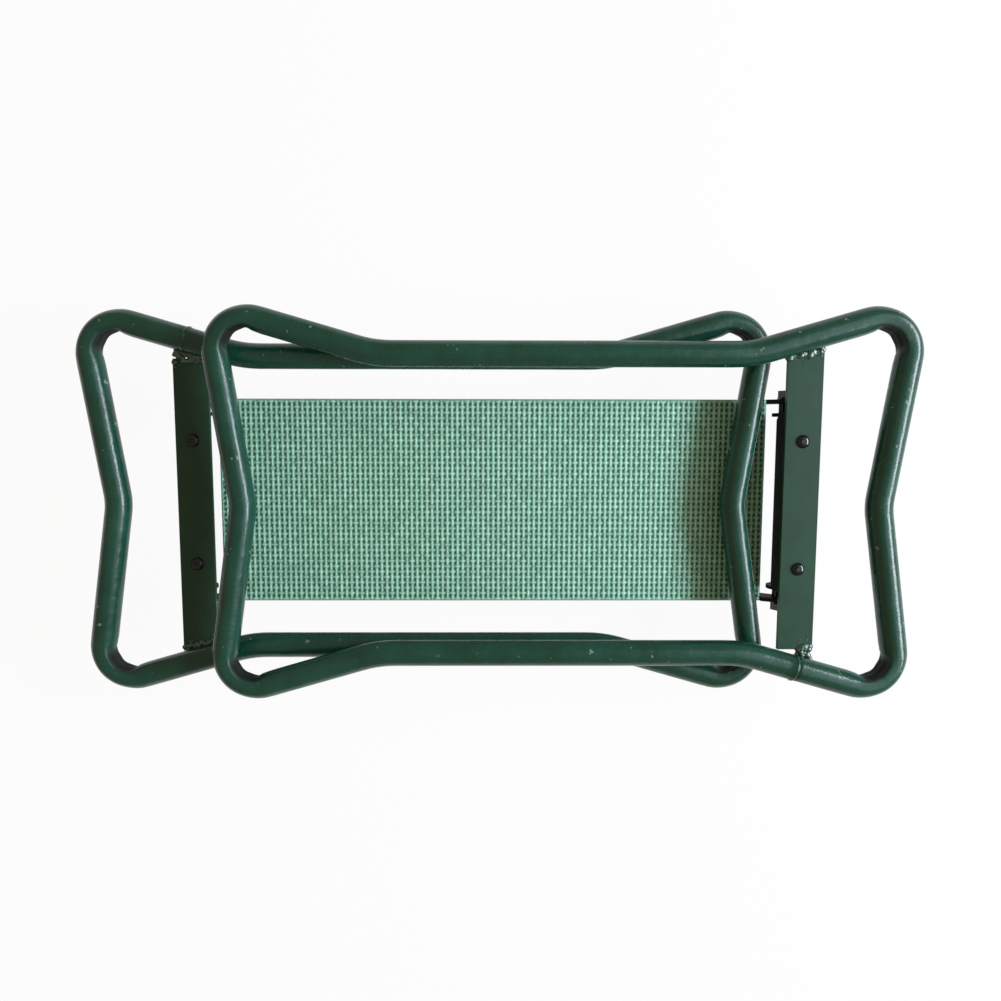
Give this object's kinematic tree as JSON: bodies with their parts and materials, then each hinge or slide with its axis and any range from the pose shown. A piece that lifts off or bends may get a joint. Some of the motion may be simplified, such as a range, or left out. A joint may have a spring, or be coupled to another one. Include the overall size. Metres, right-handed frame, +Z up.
{
  "type": "folding garden kneeler",
  "caption": "Folding kneeler and stool: a foam-padded steel seat with a hinged, bowed tube loop at each end, folded flat one over the other.",
  "frame": {"origin": "middle of the seat on the face that it rests on, the lower pad's outer face", "axes": "+X along the seat towards the loop that lies on top, +Y across the seat, +Z up from the lower pad to the upper pad"},
  "size_m": [0.588, 0.275, 0.0757],
  "materials": {
    "frame_paint": "gloss dark green stove enamel on steel tube, with small sags and brush marks",
    "plate_paint": "satin dark green paint on flat bar",
    "pan_paint": "satin dark green paint on pressed sheet steel",
    "black_paint": "black paint on folded sheet steel",
    "foam": "green closed-cell foam embossed with a basket pattern",
    "dark_fasteners": "blackened steel"
  },
  "bodies": {
    "seat": {"seat_pan": "pan_paint", "kneeling_pad": "foam", "sitting_pad": "foam", "left_end_channel": "black_paint", "left_channel_rivets": "dark_fasteners", "left_pivot_bolts": "dark_fasteners", "left_pivot_bushes": "dark_fasteners", "left_pivot_washers": "dark_fasteners", "left_pivot_nuts": "dark_fasteners", "right_end_channel": "black_paint", "right_channel_rivets": "dark_fasteners", "right_pivot_bolts": "dark_fasteners", "right_pivot_bushes": "dark_fasteners", "right_pivot_washers": "dark_fasteners", "right_pivot_nuts": "dark_fasteners"},
    "left_frame": {"left_frame_tube": "frame_paint", "left_cross_plate": "plate_paint", "left_frame_welds": "frame_paint", "left_hinge_bracket": "black_paint", "left_plate_screws": "dark_fasteners", "left_plate_nuts": "dark_fasteners"},
    "right_frame": {"right_frame_tube": "frame_paint", "right_cross_plate": "plate_paint", "right_frame_welds": "frame_paint", "right_hinge_bracket": "black_paint", "right_plate_screws": "dark_fasteners", "right_plate_nuts": "dark_fasteners"}
  },
  "joints": [
    {"name": "right_frame_fold", "type": "hinge", "parent": "seat", "child": "right_frame", "pos_m": [0.217, 0, 0.0307], "axis": [0, 1, 0], "range_deg": [0, 98]},
    {"name": "left_frame_fold", "type": "hinge", "parent": "seat", "child": "left_frame", "pos_m": [-0.217, 0, 0.0307], "axis": [0, -1, 0], "range_deg": [0, 98]}
  ],
  "couplings": [
    {"joint": "left_frame_fold", "follows": "right_frame_fold", "ratio": 0.04}
  ]
}
